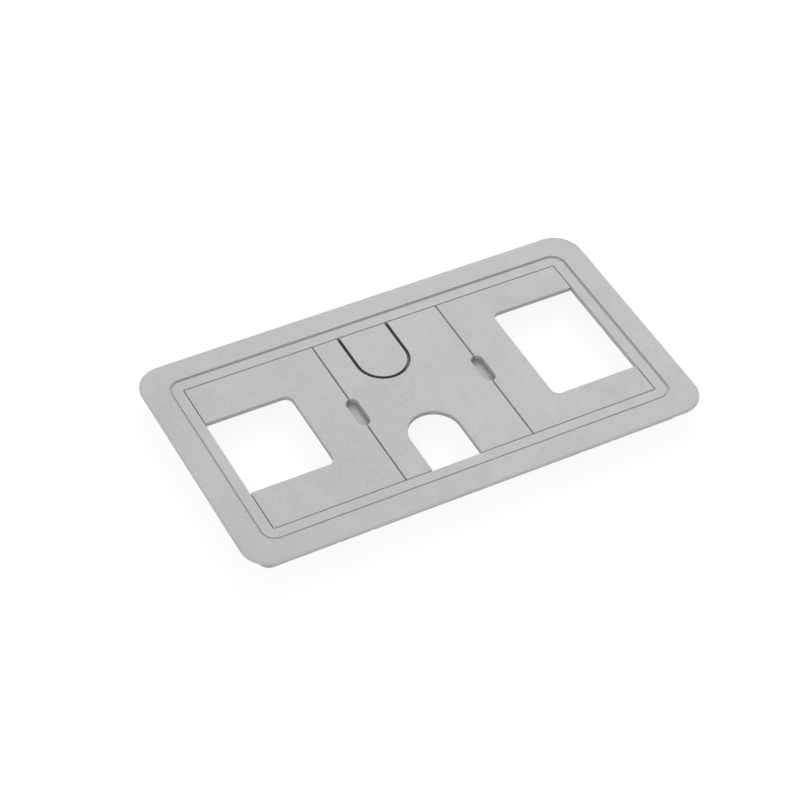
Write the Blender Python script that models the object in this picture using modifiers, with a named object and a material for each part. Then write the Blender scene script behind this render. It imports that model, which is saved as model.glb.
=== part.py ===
"""Desk cable grommet: a moulded frame for a rectangular cut-out, and the three lids that clip into it.

Metres, +Z up, +X along the grommet. The origin is at the middle of the collar's foot, so the
grommet stands on its collar at z = 0 and the flange is at the top.
"""

import math

import bmesh
import bpy
from mathutils import Matrix

# Flange: the flat rim that covers the edge of the cut-out
FLANGE_LENGTH = 0.2320
FLANGE_WIDTH = 0.1280
FLANGE_THICKNESS = 0.0016
FLANGE_EDGE_THICKNESS = 0.0012
FLANGE_CORNER_RADIUS = 0.0135
FLANGE_EDGE_RADIUS = 0.0009

# Step: the inner part of the rim lies lower, and the lids lie flush with it. A fine shadow line runs
# all round at the foot of the step
RIM_WIDTH = 0.0120
STEP_HEIGHT = 0.0006
STEP_CORNER_RADIUS = 0.0070
STEP_EDGE_RADIUS = 0.0003
SHADOW_LINE_WIDTH = 0.0010
SHADOW_LINE_DEPTH = 0.0006
BAND_WIDTH = 0.0062
BAND_ROOT = 0.0002
OPENING_CORNER_RADIUS = 0.0009
OPENING_EDGE_RADIUS = 0.0003

# Collar: the sleeve that goes down into the cut-out
COLLAR_INSET = 0.0080
COLLAR_WALL = 0.0022
COLLAR_DEPTH = 0.0120
COLLAR_CORNER_RADIUS = 0.0060
COLLAR_LEAD_IN = 0.0007
COLLAR_LEAD_IN_HEIGHT = 0.0020

# Ledges that carry the lids. They end a relief before the notches and before the U in the middle
LEDGE_REACH = 0.0030
LEDGE_THICKNESS = 0.0018
LEDGE_ROOT = 0.0022
LEDGE_NOTCH_RELIEF = 0.0025
LEDGE_BREAKOUT_RELIEF = 0.0012

# Cross bars under the seams between the lids, a hair lower than the ledges, so the lids seat there first
BAR_DROP = 0.0001
BAR_WIDTH = 0.0110
BAR_THICKNESS = 0.0020
BAR_WEB_THICKNESS = 0.0022
BAR_DEPTH = 0.0080

# Spring fins in the collar, which grip the wall of the cut-out
FIN_WIDTH = 0.0150
FIN_SLOT_WIDTH = 0.0014
FIN_SLOT_TOP_GAP = 0.0032
FIN_BARB_REACH = 0.0016
FIN_BARB_MARGIN = 0.0008
FIN_BARB_TOP_GAP = 0.0050
FIN_BARB_SHOULDER = 0.0014
FIN_CORNER_MARGIN = 0.0460

# Lids
LID_THICKNESS = 0.0024
LID_CLEARANCE = 0.0004
SEAM_GAP = 0.0006
SEAT_GAP = 0.0003
LID_CORNER_RADIUS = 0.0005
LID_EDGE_RADIUS = 0.0003

# Notches in the outer lids, open towards the ends of the frame: the arms on both sides of a notch
# are measured from the opening's wall, and the bridge is what is left between notch and seam
LEFT_ARM_WIDTH = 0.0230
LEFT_BRIDGE = 0.0227
RIGHT_ARM_WIDTH = 0.0168
RIGHT_BRIDGE = 0.0210
NOTCH_CORNER_RADIUS = 0.0038

# U-shaped break-outs in the middle lid, with a bridge between them. Both stand nearer to the left seam,
# where an arm is left beside them
BREAKOUT_WIDTH = 0.0250
BREAKOUT_LEFT_ARM = 0.0130
BREAKOUT_BRIDGE = 0.0260
GROOVE_WIDTH = 0.0016
GROOVE_WEB = 0.0006

# Slots over the cross bars, half in each lid, for lifting a lid with a blade
PRY_SLOT_LENGTH = 0.0170
PRY_SLOT_WIDTH = 0.0058
PRY_POCKET_MARGIN = 0.0009
PRY_POCKET_DEPTH = 0.0006

# Stiffening ribs under the lids. Those that run into others are lower
RIB_THICKNESS = 0.0015
RIB_DEPTH = 0.0026
LOW_RIB_DEPTH = 0.0022
RIB_SETBACK = 0.0040
RIB_CLEARANCE = 0.0010
RIB_SPACING = 0.0180

# Clip hooks under the front and back edges of the lids
HOOK_WIDTH = 0.0060
HOOK_THICKNESS = 0.0013
HOOK_GAP = 0.0003
HOOK_BARB_REACH = 0.0008
HOOK_BARB_HEIGHT = 0.0016
SIDE_HOOK_MARGIN = 0.0142
CENTRE_HOOK_MARGIN = 0.0093

# How finely round outlines are divided
CORNER_STEPS = 8
FILLET_STEPS = 3
SLOT_STEPS = 16
FLAT_ANGLE = 0.1
SHARP_ANGLE = 30
SAME_POINT = 0.000001

# How far one shape reaches into another that it is joined to
BITE = 0.0005

# Levels, from the foot upwards
FLANGE_UNDERSIDE = COLLAR_DEPTH
FLANGE_TOP = FLANGE_UNDERSIDE + FLANGE_THICKNESS
FLANGE_EDGE_TOP = FLANGE_UNDERSIDE + FLANGE_EDGE_THICKNESS
BAND_TOP = FLANGE_TOP - STEP_HEIGHT
LID_TOP = BAND_TOP
LID_UNDERSIDE = LID_TOP - LID_THICKNESS
LEDGE_TOP = LID_UNDERSIDE - SEAT_GAP
LEDGE_UNDERSIDE = LEDGE_TOP - LEDGE_THICKNESS
BAR_TOP = LEDGE_TOP - BAR_DROP
BAND_UNDERSIDE = LEDGE_TOP - BAND_ROOT

# Plan sizes that follow
OPENING_INSET = RIM_WIDTH + BAND_WIDTH
OPENING_LENGTH = FLANGE_LENGTH - 2 * OPENING_INSET
OPENING_WIDTH = FLANGE_WIDTH - 2 * OPENING_INSET
COLLAR_INNER_INSET = COLLAR_INSET + COLLAR_WALL
LID_WIDTH = OPENING_WIDTH - 2 * LID_CLEARANCE
LID_LENGTH = (OPENING_LENGTH - 2 * LID_CLEARANCE - 2 * SEAM_GAP) / 3
SEAM_X = LID_LENGTH / 2 + SEAM_GAP / 2
LEFT_NOTCH_WIDTH = OPENING_WIDTH - 2 * LEFT_ARM_WIDTH
RIGHT_NOTCH_WIDTH = OPENING_WIDTH - 2 * RIGHT_ARM_WIDTH
BREAKOUT_LENGTH = (OPENING_WIDTH - BREAKOUT_BRIDGE) / 2
BREAKOUT_LEFT = BREAKOUT_LEFT_ARM - LID_LENGTH / 2
BREAKOUT_RIGHT = BREAKOUT_LEFT + BREAKOUT_WIDTH

# Matt light grey, as a share of full white in linear light
FRAME_COLOUR = (0.53, 0.53, 0.53)
LID_COLOUR = (0.53, 0.53, 0.53)
PLASTIC_ROUGHNESS = 0.45

PART_COLLECTION = "desk_cable_grommet"
CUTTER_COLLECTION = "cutters"


def clear_scene():
    for old in list(bpy.data.objects):
        bpy.data.objects.remove(old, do_unlink=True)


def collection(name):
    found = bpy.data.collections.get(name)
    if found is None:
        found = bpy.data.collections.new(name)
        bpy.context.scene.collection.children.link(found)
    return found


def moulded_plastic(name, colour):
    material = bpy.data.materials.new(name)
    material.use_nodes = True
    shader = material.node_tree.nodes["Principled BSDF"]
    shader.inputs["Base Color"].default_value = (*colour, 1.0)
    shader.inputs["Roughness"].default_value = PLASTIC_ROUGHNESS
    shader.inputs["Metallic"].default_value = 0.0
    material.diffuse_color = (*colour, 1.0)
    return material


def arc(centre, radius, start, end, steps):
    """Points on an arc from start to end, both in degrees."""
    points = []
    for step in range(steps + 1):
        angle = math.radians(start + (end - start) * step / steps)
        x = centre[0] + radius * math.cos(angle)
        y = centre[1] + radius * math.sin(angle)
        points.append((x, y))
    return points


def rounded_rectangle(length, width, radius, steps=CORNER_STEPS):
    """A rectangle with round corners about the origin, anticlockwise from the right end's front corner."""
    x = length / 2 - radius
    y = width / 2 - radius
    points = arc((x, -y), radius, -90, 0, steps)
    points += arc((x, y), radius, 0, 90, steps)
    points += arc((-x, y), radius, 90, 180, steps)
    points += arc((-x, -y), radius, 180, 270, steps)
    return points


def mirrored_x(points):
    return [(-px, py) for px, py in reversed(points)]


def mirrored_y(points):
    return [(px, -py) for px, py in reversed(points)]


def new_object(name, mesh, place):
    made = bpy.data.objects.new(name, mesh)
    collection(place).objects.link(made)
    if place == CUTTER_COLLECTION:
        made.hide_render = True
        made.display_type = "WIRE"
    return made


def outline_solid(name, outline, low, high, place=CUTTER_COLLECTION):
    """A flat outline, filled and extruded from z = low to z = high."""
    curve = bpy.data.curves.new(name, "CURVE")
    curve.dimensions = "2D"
    curve.fill_mode = "BOTH"
    curve.extrude = (high - low) / 2
    spline = curve.splines.new("POLY")
    spline.points.add(len(outline) - 1)
    for spline_point, (x, y) in zip(spline.points, outline):
        spline_point.co = (x, y, 0.0, 1.0)
    spline.use_cyclic_u = True
    drawn = bpy.data.objects.new(name + "_outline", curve)
    drawn.location.z = (low + high) / 2
    bpy.context.scene.collection.objects.link(drawn)
    bpy.context.view_layer.update()
    evaluated = drawn.evaluated_get(bpy.context.evaluated_depsgraph_get())
    mesh = bpy.data.meshes.new_from_object(evaluated)
    mesh.name = name
    solid = bmesh.new()
    solid.from_mesh(mesh)
    bmesh.ops.remove_doubles(solid, verts=solid.verts, dist=SAME_POINT)
    bmesh.ops.recalc_face_normals(solid, faces=solid.faces)
    flat = math.radians(FLAT_ANGLE)
    bmesh.ops.dissolve_limit(solid, angle_limit=flat, verts=solid.verts, edges=solid.edges)
    solid.to_mesh(mesh)
    solid.free()
    made = new_object(name, mesh, place)
    made.matrix_world = drawn.matrix_world.copy()
    bpy.data.objects.remove(drawn, do_unlink=True)
    return made


def profile_solid(name, profile, x_low, x_high):
    """A side profile, given as (y, z) points, extruded along X from x_low to x_high."""
    made = outline_solid(name, profile, x_low, x_high)
    made.data.transform(made.matrix_world)
    made.matrix_world.identity()
    for vertex in made.data.vertices:
        y, z, x = vertex.co
        vertex.co = (x, y, z)
    return made


def turned(solid, x, y, angle):
    """Turn a shape that was made at the origin about Z, and move it to its own place."""
    place = Matrix.Translation((x, y, 0.0)) @ Matrix.Rotation(angle, 4, "Z")
    solid.data.transform(place)
    return solid


def box(name, low, high):
    """A box between two opposite corners."""
    mesh = bpy.data.meshes.new(name)
    solid = bmesh.new()
    bmesh.ops.create_cube(solid, size=1.0)
    for vertex in solid.verts:
        for axis in range(3):
            middle = (low[axis] + high[axis]) / 2
            vertex.co[axis] = middle + vertex.co[axis] * (high[axis] - low[axis])
    solid.to_mesh(mesh)
    solid.free()
    return new_object(name, mesh, CUTTER_COLLECTION)


def combine(target, tool, operation):
    """Join a shape to the target, or cut it out of it."""
    boolean = target.modifiers.new(tool.name, "BOOLEAN")
    boolean.object = tool
    boolean.operation = operation
    boolean.solver = "EXACT"


def round_top_rim(target, top, radius, steps):
    """Round the edges all round the top face at height top."""
    place = target.matrix_world.translation.z
    target.data.attributes.new("bevel_weight_edge", "FLOAT", "EDGE")
    solid = bmesh.new()
    solid.from_mesh(target.data)
    layer = solid.edges.layers.float.get("bevel_weight_edge")
    for edge in solid.edges:
        at_top = all(abs(vertex.co.z + place - top) < SAME_POINT for vertex in edge.verts)
        if at_top and edge.calc_face_angle(0.0) > math.radians(SHARP_ANGLE):
            edge[layer] = 1.0
    solid.to_mesh(target.data)
    solid.free()
    rounding = target.modifiers.new("round_top_rim", "BEVEL")
    rounding.width = radius
    rounding.segments = steps
    rounding.limit_method = "WEIGHT"
    rounding.use_clamp_overlap = True


def shade(target):
    target.data.shade_smooth()
    target.data.set_sharp_from_angle(angle=math.radians(SHARP_ANGLE))


def frame_section():
    """The moulded section of the frame, once round, as (inset, height, corner radius) of each ring.

    It starts at the flange's lower outer edge and goes over the rim, down the step, through the
    shadow line, down the opening, round the collar and back under the flange.
    """
    rings = [(0.0, FLANGE_UNDERSIDE, FLANGE_CORNER_RADIUS)]
    for step in range(FILLET_STEPS + 2):
        angle = math.radians(90 * step / (FILLET_STEPS + 1))
        inset = FLANGE_EDGE_RADIUS * (1 - math.cos(angle))
        height = FLANGE_EDGE_TOP - FLANGE_EDGE_RADIUS * (1 - math.sin(angle))
        rings.append((inset, height, FLANGE_CORNER_RADIUS - inset))
    for step in range(FILLET_STEPS + 1):
        angle = math.radians(90 * step / FILLET_STEPS)
        inset = RIM_WIDTH - STEP_EDGE_RADIUS * (1 - math.sin(angle))
        height = FLANGE_TOP - STEP_EDGE_RADIUS * (1 - math.cos(angle))
        rings.append((inset, height, STEP_CORNER_RADIUS + RIM_WIDTH - inset))
    line_inset = RIM_WIDTH + SHADOW_LINE_WIDTH
    line_radius = STEP_CORNER_RADIUS - SHADOW_LINE_WIDTH
    rings.append((RIM_WIDTH, BAND_TOP - SHADOW_LINE_DEPTH, STEP_CORNER_RADIUS))
    rings.append((line_inset, BAND_TOP - SHADOW_LINE_DEPTH, line_radius))
    rings.append((line_inset, BAND_TOP, line_radius))
    for step in range(FILLET_STEPS + 1):
        angle = math.radians(90 * step / FILLET_STEPS)
        inset = OPENING_INSET - OPENING_EDGE_RADIUS * (1 - math.sin(angle))
        height = BAND_TOP - OPENING_EDGE_RADIUS * (1 - math.cos(angle))
        rings.append((inset, height, OPENING_CORNER_RADIUS + OPENING_INSET - inset))
    rings.append((OPENING_INSET, BAND_UNDERSIDE, OPENING_CORNER_RADIUS))
    inner_radius = COLLAR_CORNER_RADIUS - COLLAR_WALL
    rings.append((COLLAR_INNER_INSET, BAND_UNDERSIDE, inner_radius))
    rings.append((COLLAR_INNER_INSET, 0.0, inner_radius))
    rings.append((COLLAR_INSET + COLLAR_LEAD_IN, 0.0, COLLAR_CORNER_RADIUS - COLLAR_LEAD_IN))
    rings.append((COLLAR_INSET, COLLAR_LEAD_IN_HEIGHT, COLLAR_CORNER_RADIUS))
    rings.append((COLLAR_INSET, FLANGE_UNDERSIDE, COLLAR_CORNER_RADIUS))
    return rings


def frame_body():
    """The frame's main form: rounded rectangles, one for each ring of the section, bridged in turn."""
    solid = bmesh.new()
    loops = []
    for inset, height, radius in frame_section():
        outline = rounded_rectangle(FLANGE_LENGTH - 2 * inset, FLANGE_WIDTH - 2 * inset, radius)
        loops.append([solid.verts.new((x, y, height)) for x, y in outline])
    for number, lower in enumerate(loops):
        upper = loops[(number + 1) % len(loops)]
        for corner in range(len(lower)):
            following = (corner + 1) % len(lower)
            solid.faces.new((lower[corner], lower[following], upper[following], upper[corner]))
    bmesh.ops.recalc_face_normals(solid, faces=solid.faces)
    mesh = bpy.data.meshes.new("frame")
    solid.to_mesh(mesh)
    solid.free()
    return new_object("frame", mesh, PART_COLLECTION)


def corner_ledge(name, side_x, side_y, notch_width):
    """One L of ledge in a corner, from the notch round to the break-out in the middle."""
    outer_x = OPENING_LENGTH / 2 + LEDGE_ROOT
    outer_y = OPENING_WIDTH / 2 + LEDGE_ROOT
    inner_x = OPENING_LENGTH / 2 - LEDGE_REACH
    inner_y = OPENING_WIDTH / 2 - LEDGE_REACH
    end_x = LEDGE_BREAKOUT_RELIEF + (-BREAKOUT_LEFT if side_x < 0 else BREAKOUT_RIGHT)
    end_y = notch_width / 2 + LEDGE_NOTCH_RELIEF
    radius = OPENING_CORNER_RADIUS + LEDGE_ROOT
    points = [(end_x, outer_y), (end_x, inner_y), (inner_x, inner_y), (inner_x, end_y), (outer_x, end_y)]
    points += arc((outer_x - radius, outer_y - radius), radius, 0, 90, CORNER_STEPS)
    points = [(side_x * x, side_y * y) for x, y in points]
    return outline_solid(name, points, LEDGE_UNDERSIDE, LEDGE_TOP)


def cross_bar(name, x):
    """A T-section bar from the front wall of the collar to the back wall."""
    top = BAR_TOP
    under = BAR_TOP - BAR_THICKNESS
    foot = BAR_TOP - BAR_DEPTH
    half_bar = BAR_WIDTH / 2
    half_web = BAR_WEB_THICKNESS / 2
    section = [
        (half_bar, under),
        (half_bar, top),
        (-half_bar, top),
        (-half_bar, under),
        (-half_web, under),
        (-half_web, foot),
        (half_web, foot),
        (half_web, under),
    ]
    reach = FLANGE_WIDTH / 2 - COLLAR_INNER_INSET + BITE
    return turned(profile_solid(name, section, -reach, reach), x, 0.0, math.pi / 2)


def pry_pocket(name, x):
    """A shallow pocket in a cross bar, a little larger than the slot over it, so a blade gets under."""
    length = PRY_SLOT_LENGTH + 2 * PRY_POCKET_MARGIN
    width = PRY_SLOT_WIDTH + 2 * PRY_POCKET_MARGIN
    outline = [(px + x, py) for px, py in stadium(length, width)]
    return outline_solid(name, outline, BAR_TOP - PRY_POCKET_DEPTH, BAR_TOP + BITE)


def fin_places():
    """Where the spring fins stand on the collar: x, y and the turn from facing the front."""
    end_x = FLANGE_LENGTH / 2 - COLLAR_INSET
    side_y = FLANGE_WIDTH / 2 - COLLAR_INSET
    places = [(end_x, 0.0, math.pi / 2), (-end_x, 0.0, -math.pi / 2)]
    for x in (FIN_CORNER_MARGIN - end_x, end_x - FIN_CORNER_MARGIN):
        places.append((x, -side_y, 0.0))
        places.append((x, side_y, math.pi))
    return places


def fin_barb(name):
    """The ramp on a fin's outside, thin at the foot and proud near the top."""
    peak = FLANGE_UNDERSIDE - FIN_BARB_TOP_GAP
    section = [
        (BITE, COLLAR_LEAD_IN_HEIGHT),
        (0.0, COLLAR_LEAD_IN_HEIGHT),
        (-FIN_BARB_REACH, peak - FIN_BARB_SHOULDER),
        (-FIN_BARB_REACH, peak),
        (0.0, peak + FIN_BARB_SHOULDER),
        (BITE, peak + FIN_BARB_SHOULDER),
    ]
    half = FIN_WIDTH / 2 - FIN_BARB_MARGIN
    return profile_solid(name, section, -half, half)


def fin_slot(name, side):
    """The slot beside a fin, open at the foot of the collar."""
    near = FIN_WIDTH / 2
    far = near + FIN_SLOT_WIDTH
    low = (min(side * near, side * far), -COLLAR_WALL, -BITE)
    high = (max(side * near, side * far), 2 * COLLAR_WALL, FLANGE_UNDERSIDE - FIN_SLOT_TOP_GAP)
    return box(name, low, high)


def stadium(length, width):
    """An oval with straight sides and round ends about the origin, long along Y."""
    straight = (length - width) / 2
    points = arc((0.0, straight), width / 2, 0, 180, SLOT_STEPS)
    points += arc((0.0, -straight), width / 2, 180, 360, SLOT_STEPS)
    return points


def build_frame(material):
    frame = frame_body()
    for side_y, end_name in ((-1, "front"), (1, "back")):
        left = corner_ledge("left_" + end_name + "_ledge", -1, side_y, LEFT_NOTCH_WIDTH)
        right = corner_ledge("right_" + end_name + "_ledge", 1, side_y, RIGHT_NOTCH_WIDTH)
        combine(frame, left, "UNION")
        combine(frame, right, "UNION")
    for side, bar_name in ((-1, "left_bar"), (1, "right_bar")):
        combine(frame, cross_bar(bar_name, side * SEAM_X), "UNION")
        combine(frame, pry_pocket(bar_name + "_pocket", side * SEAM_X), "DIFFERENCE")
    for number, (x, y, angle) in enumerate(fin_places(), start=1):
        combine(frame, turned(fin_barb(f"fin_barb_{number}"), x, y, angle), "UNION")
        for side, side_name in ((-1, "left"), (1, "right")):
            slot = fin_slot(f"fin_{side_name}_slot_{number}", side)
            combine(frame, turned(slot, x, y, angle), "DIFFERENCE")
    shade(frame)
    frame.data.materials.append(material)
    return frame


def outer_corner(x, y, toward_x, toward_y, start):
    """A small arc that rounds an outer corner of a lid, with its centre on the toward side."""
    centre = (x + toward_x * LID_CORNER_RADIUS, y + toward_y * LID_CORNER_RADIUS)
    return arc(centre, LID_CORNER_RADIUS, start, start + 90, FILLET_STEPS)


def half_slot(edge_x):
    """The half of a pry slot that falls in a lid whose right edge is at edge_x, from front to back."""
    radius = PRY_SLOT_WIDTH / 2
    straight = (PRY_SLOT_LENGTH - PRY_SLOT_WIDTH) / 2
    slot_x = edge_x + SEAM_GAP / 2
    skew = math.degrees(math.asin(SEAM_GAP / 2 / radius))
    points = arc((slot_x, -straight), radius, 270 - skew, 180, SLOT_STEPS // 2)
    points += arc((slot_x, straight), radius, 180, 90 + skew, SLOT_STEPS // 2)
    return points


def notch_path(bridge, width, grown):
    """The inner end of a left notch, grown by some distance, from its back corner to its front corner."""
    end = LID_LENGTH / 2 - bridge + grown
    half = width / 2 + grown
    radius = NOTCH_CORNER_RADIUS + grown
    points = arc((end - radius, half - radius), radius, 90, 0, CORNER_STEPS)
    points += arc((end - radius, -half + radius), radius, 0, -90, CORNER_STEPS)
    return points


def side_lid_outline(bridge, notch_width):
    """The left lid from above: the notch opens to -X and half a pry slot cuts the +X edge."""
    back = LID_WIDTH / 2
    outer = -LID_LENGTH / 2
    seam = LID_LENGTH / 2
    points = outer_corner(outer, -back, 1, 1, 180)
    points += outer_corner(seam, -back, -1, 1, 270)
    points += half_slot(seam)
    points += outer_corner(seam, back, -1, -1, 0)
    points += outer_corner(outer, back, 1, -1, 90)
    points += outer_corner(outer, notch_width / 2, 1, 1, 180)
    points += notch_path(bridge, notch_width, 0.0)
    points += outer_corner(outer, -notch_width / 2, 1, -1, 90)
    return points


def breakout_path(grown):
    """The U of the back break-out, grown by some distance, from its left leg round to its right leg."""
    middle = OPENING_WIDTH / 2 - BREAKOUT_LENGTH + BREAKOUT_WIDTH / 2
    centre = ((BREAKOUT_LEFT + BREAKOUT_RIGHT) / 2, middle)
    return arc(centre, BREAKOUT_WIDTH / 2 + grown, 180, 360, 2 * SLOT_STEPS)


def centre_lid_outline():
    """The middle lid from above: half a pry slot in each side edge, the open U in the front edge."""
    back = LID_WIDTH / 2
    seam = LID_LENGTH / 2
    right_half_slot = half_slot(seam)
    points = outer_corner(-seam, -back, 1, 1, 180)
    points += outer_corner(BREAKOUT_LEFT, -back, -1, 1, 270)
    points += [(x, -y) for x, y in breakout_path(0.0)]
    points += outer_corner(BREAKOUT_RIGHT, -back, 1, 1, 180)
    points += outer_corner(seam, -back, -1, 1, 270)
    points += right_half_slot
    points += outer_corner(seam, back, -1, -1, 0)
    points += outer_corner(-seam, back, 1, -1, 90)
    points += mirrored_x(right_half_slot)
    return points


def u_band(inner, outer, end_y):
    """A band that follows the back break-out's U between two distances from it, with its ends at end_y."""
    points = [(BREAKOUT_LEFT - outer, end_y)] + breakout_path(outer) + [(BREAKOUT_RIGHT + outer, end_y)]
    points += [(BREAKOUT_RIGHT + inner, end_y)] + breakout_path(inner)[::-1]
    points += [(BREAKOUT_LEFT - inner, end_y)]
    return points


def notch_rib_outline(bridge, notch_width):
    """A rib round a left notch, set back from its edge, that stops short of the ledge."""
    end_x = -LID_LENGTH / 2 - LID_CLEARANCE + LEDGE_REACH + RIB_CLEARANCE
    near = RIB_SETBACK
    far = RIB_SETBACK + RIB_THICKNESS
    points = [(end_x, notch_width / 2 + far)]
    points += notch_path(bridge, notch_width, far)
    points += [(end_x, -notch_width / 2 - far), (end_x, -notch_width / 2 - near)]
    points += notch_path(bridge, notch_width, near)[::-1]
    points += [(end_x, notch_width / 2 + near)]
    return points


def clip_hook(name, x, side):
    """A hook that hangs from the lid, passes the edge of the ledge and catches under it."""
    outer = OPENING_WIDTH / 2 - LEDGE_REACH - HOOK_GAP
    inner = outer - HOOK_THICKNESS
    barb_top = LEDGE_UNDERSIDE - HOOK_GAP
    foot = barb_top - HOOK_BARB_HEIGHT
    root = LID_UNDERSIDE + BITE
    section = [
        (inner, root),
        (inner, foot),
        (outer, foot),
        (outer + HOOK_BARB_REACH, barb_top),
        (outer, barb_top),
        (outer, root),
    ]
    section = [(side * y, z) for y, z in section]
    return profile_solid(name, section, x - HOOK_WIDTH / 2, x + HOOK_WIDTH / 2)


def lid_hooks(name, margin):
    """The four hooks of a lid, two at its front edge and two at its back edge, a margin from its ends."""
    offset = LID_LENGTH / 2 - margin
    hooks = []
    for side_y, edge in ((-1, "front"), (1, "back")):
        hooks.append(clip_hook(f"{name}_{edge}_left_hook", -offset, side_y))
        hooks.append(clip_hook(f"{name}_{edge}_right_hook", offset, side_y))
    return hooks


def rib(name, outline, depth):
    return outline_solid(name, outline, LID_UNDERSIDE - depth, LID_UNDERSIDE + BITE)


def rectangle(x_low, x_high, y_low, y_high):
    return [(x_low, y_low), (x_high, y_low), (x_high, y_high), (x_low, y_high)]


def seam_rib_x():
    """Where the rib beside a seam stands, clear of the cross bar: its near and far side."""
    far = LID_LENGTH / 2 + SEAM_GAP / 2 - BAR_WIDTH / 2 - RIB_CLEARANCE
    return far - RIB_THICKNESS, far


def rib_end_y():
    """How far from the middle a rib may reach before it meets the hooks."""
    return OPENING_WIDTH / 2 - LEDGE_REACH - HOOK_GAP - HOOK_THICKNESS - RIB_CLEARANCE


def lid_plate(name, outline, x, material):
    lid = outline_solid(name, outline, LID_UNDERSIDE, LID_TOP, PART_COLLECTION)
    lid.location.x = x
    round_top_rim(lid, LID_TOP, LID_EDGE_RADIUS, FILLET_STEPS)
    lid.data.materials.append(material)
    return lid


def add_to_lid(lid, pieces):
    for piece in pieces:
        piece.location.x += lid.location.x
        combine(lid, piece, "UNION")
    shade(lid)


def side_lid_ribs(name, side, bridge, notch_width):
    """The ribs of an outer lid. Side is -1 for the left lid and 1 for the right one."""
    near, far = seam_rib_x()
    end_y = rib_end_y()
    start = LID_LENGTH / 2 - bridge + RIB_SETBACK + BITE
    outlines = [
        (notch_rib_outline(bridge, notch_width), RIB_DEPTH),
        (rectangle(near, far, -end_y, end_y), RIB_DEPTH),
    ]
    for row in (-1, 0, 1):
        low = row * RIB_SPACING - RIB_THICKNESS / 2
        cross = rectangle(start, near + BITE, low, low + RIB_THICKNESS)
        outlines.append((cross, LOW_RIB_DEPTH))
    ribs = []
    for number, (outline, depth) in enumerate(outlines, start=1):
        placed = outline if side < 0 else mirrored_x(outline)
        ribs.append(rib(f"{name}_rib_{number}", placed, depth))
    return ribs


def centre_lid_ribs(name):
    """The ribs of the middle lid. The left one runs into those round the two U shapes."""
    near, far = seam_rib_x()
    end_y = rib_end_y()
    side_end = end_y - RIB_THICKNESS
    band = u_band(RIB_SETBACK, RIB_SETBACK + RIB_THICKNESS, end_y)
    cross = rectangle(-near - BITE, near + BITE, -RIB_THICKNESS / 2, RIB_THICKNESS / 2)
    return [
        rib(name + "_back_rib", band, RIB_DEPTH),
        rib(name + "_front_rib", mirrored_y(band), RIB_DEPTH),
        rib(name + "_left_rib", rectangle(-far, -near, -side_end, side_end), LOW_RIB_DEPTH),
        rib(name + "_right_rib", rectangle(near, far, -side_end, side_end), LOW_RIB_DEPTH),
        rib(name + "_cross_rib", cross, RIB_DEPTH),
    ]


def build_side_lid(name, side, bridge, notch_width, material):
    outline = side_lid_outline(bridge, notch_width)
    if side > 0:
        outline = mirrored_x(outline)
    lid = lid_plate(name, outline, side * (LID_LENGTH + SEAM_GAP), material)
    ribs = side_lid_ribs(name, side, bridge, notch_width)
    add_to_lid(lid, ribs + lid_hooks(name, SIDE_HOOK_MARGIN))
    return lid


def build_centre_lid(material):
    lid = lid_plate("centre_lid", centre_lid_outline(), 0.0, material)
    groove = outline_solid(
        "breakout_groove",
        u_band(-GROOVE_WIDTH / 2, GROOVE_WIDTH / 2, OPENING_WIDTH / 2 + BITE),
        LID_UNDERSIDE + GROOVE_WEB,
        LID_TOP + BITE,
    )
    combine(lid, groove, "DIFFERENCE")
    add_to_lid(lid, centre_lid_ribs("centre_lid") + lid_hooks("centre_lid", CENTRE_HOOK_MARGIN))
    return lid


def main():
    clear_scene()
    frame_grey = moulded_plastic("frame_grey", FRAME_COLOUR)
    lid_grey = moulded_plastic("lid_grey", LID_COLOUR)
    build_frame(frame_grey)
    build_side_lid("left_lid", -1, LEFT_BRIDGE, LEFT_NOTCH_WIDTH, lid_grey)
    build_centre_lid(lid_grey)
    build_side_lid("right_lid", 1, RIGHT_BRIDGE, RIGHT_NOTCH_WIDTH, lid_grey)


main()
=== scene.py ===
"""Desk cable grommet: its four moulded pieces, their plastic and a plain studio, for Blender 4.5.

Metres, +Z up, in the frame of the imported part: +X runs along the grommet to the right, +Y to its
back edge, and it stands on its collar at z = 0.
"""

import math

import bmesh
import bpy
from bpy.props import FloatProperty, FloatVectorProperty, PointerProperty
from bpy.types import Operator, Panel, PropertyGroup
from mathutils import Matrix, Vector


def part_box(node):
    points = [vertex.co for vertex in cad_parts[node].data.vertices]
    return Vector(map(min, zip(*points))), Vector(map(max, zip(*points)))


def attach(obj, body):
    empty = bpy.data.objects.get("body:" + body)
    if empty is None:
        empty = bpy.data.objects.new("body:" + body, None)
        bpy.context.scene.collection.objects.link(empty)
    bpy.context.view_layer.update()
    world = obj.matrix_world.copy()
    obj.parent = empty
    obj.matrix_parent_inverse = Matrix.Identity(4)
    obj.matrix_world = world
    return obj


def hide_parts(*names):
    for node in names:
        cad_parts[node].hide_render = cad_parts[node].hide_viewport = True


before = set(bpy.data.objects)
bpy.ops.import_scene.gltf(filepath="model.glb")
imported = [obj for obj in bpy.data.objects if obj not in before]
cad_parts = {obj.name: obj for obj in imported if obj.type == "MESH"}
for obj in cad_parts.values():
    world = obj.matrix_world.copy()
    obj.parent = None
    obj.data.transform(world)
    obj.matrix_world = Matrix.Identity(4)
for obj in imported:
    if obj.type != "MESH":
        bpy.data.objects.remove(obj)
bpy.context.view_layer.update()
FRAME_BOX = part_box("frame")

bl_info = {
    "name": "Desk cable grommet",
    "version": (1, 0, 0),
    "blender": (4, 5, 0),
    "location": "3D View > Sidebar > Grommet",
    "description": "Models a rectangular desk cable grommet with three lids, and a studio to show it in",
    "category": "Mesh",
}

MM = 0.001

# How far a tool reaches past the face that it cuts, or a joined shape into what carries it
REACH = 0.5 * MM
# Points closer than this are the same point
SAME = 0.005 * MM
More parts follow.
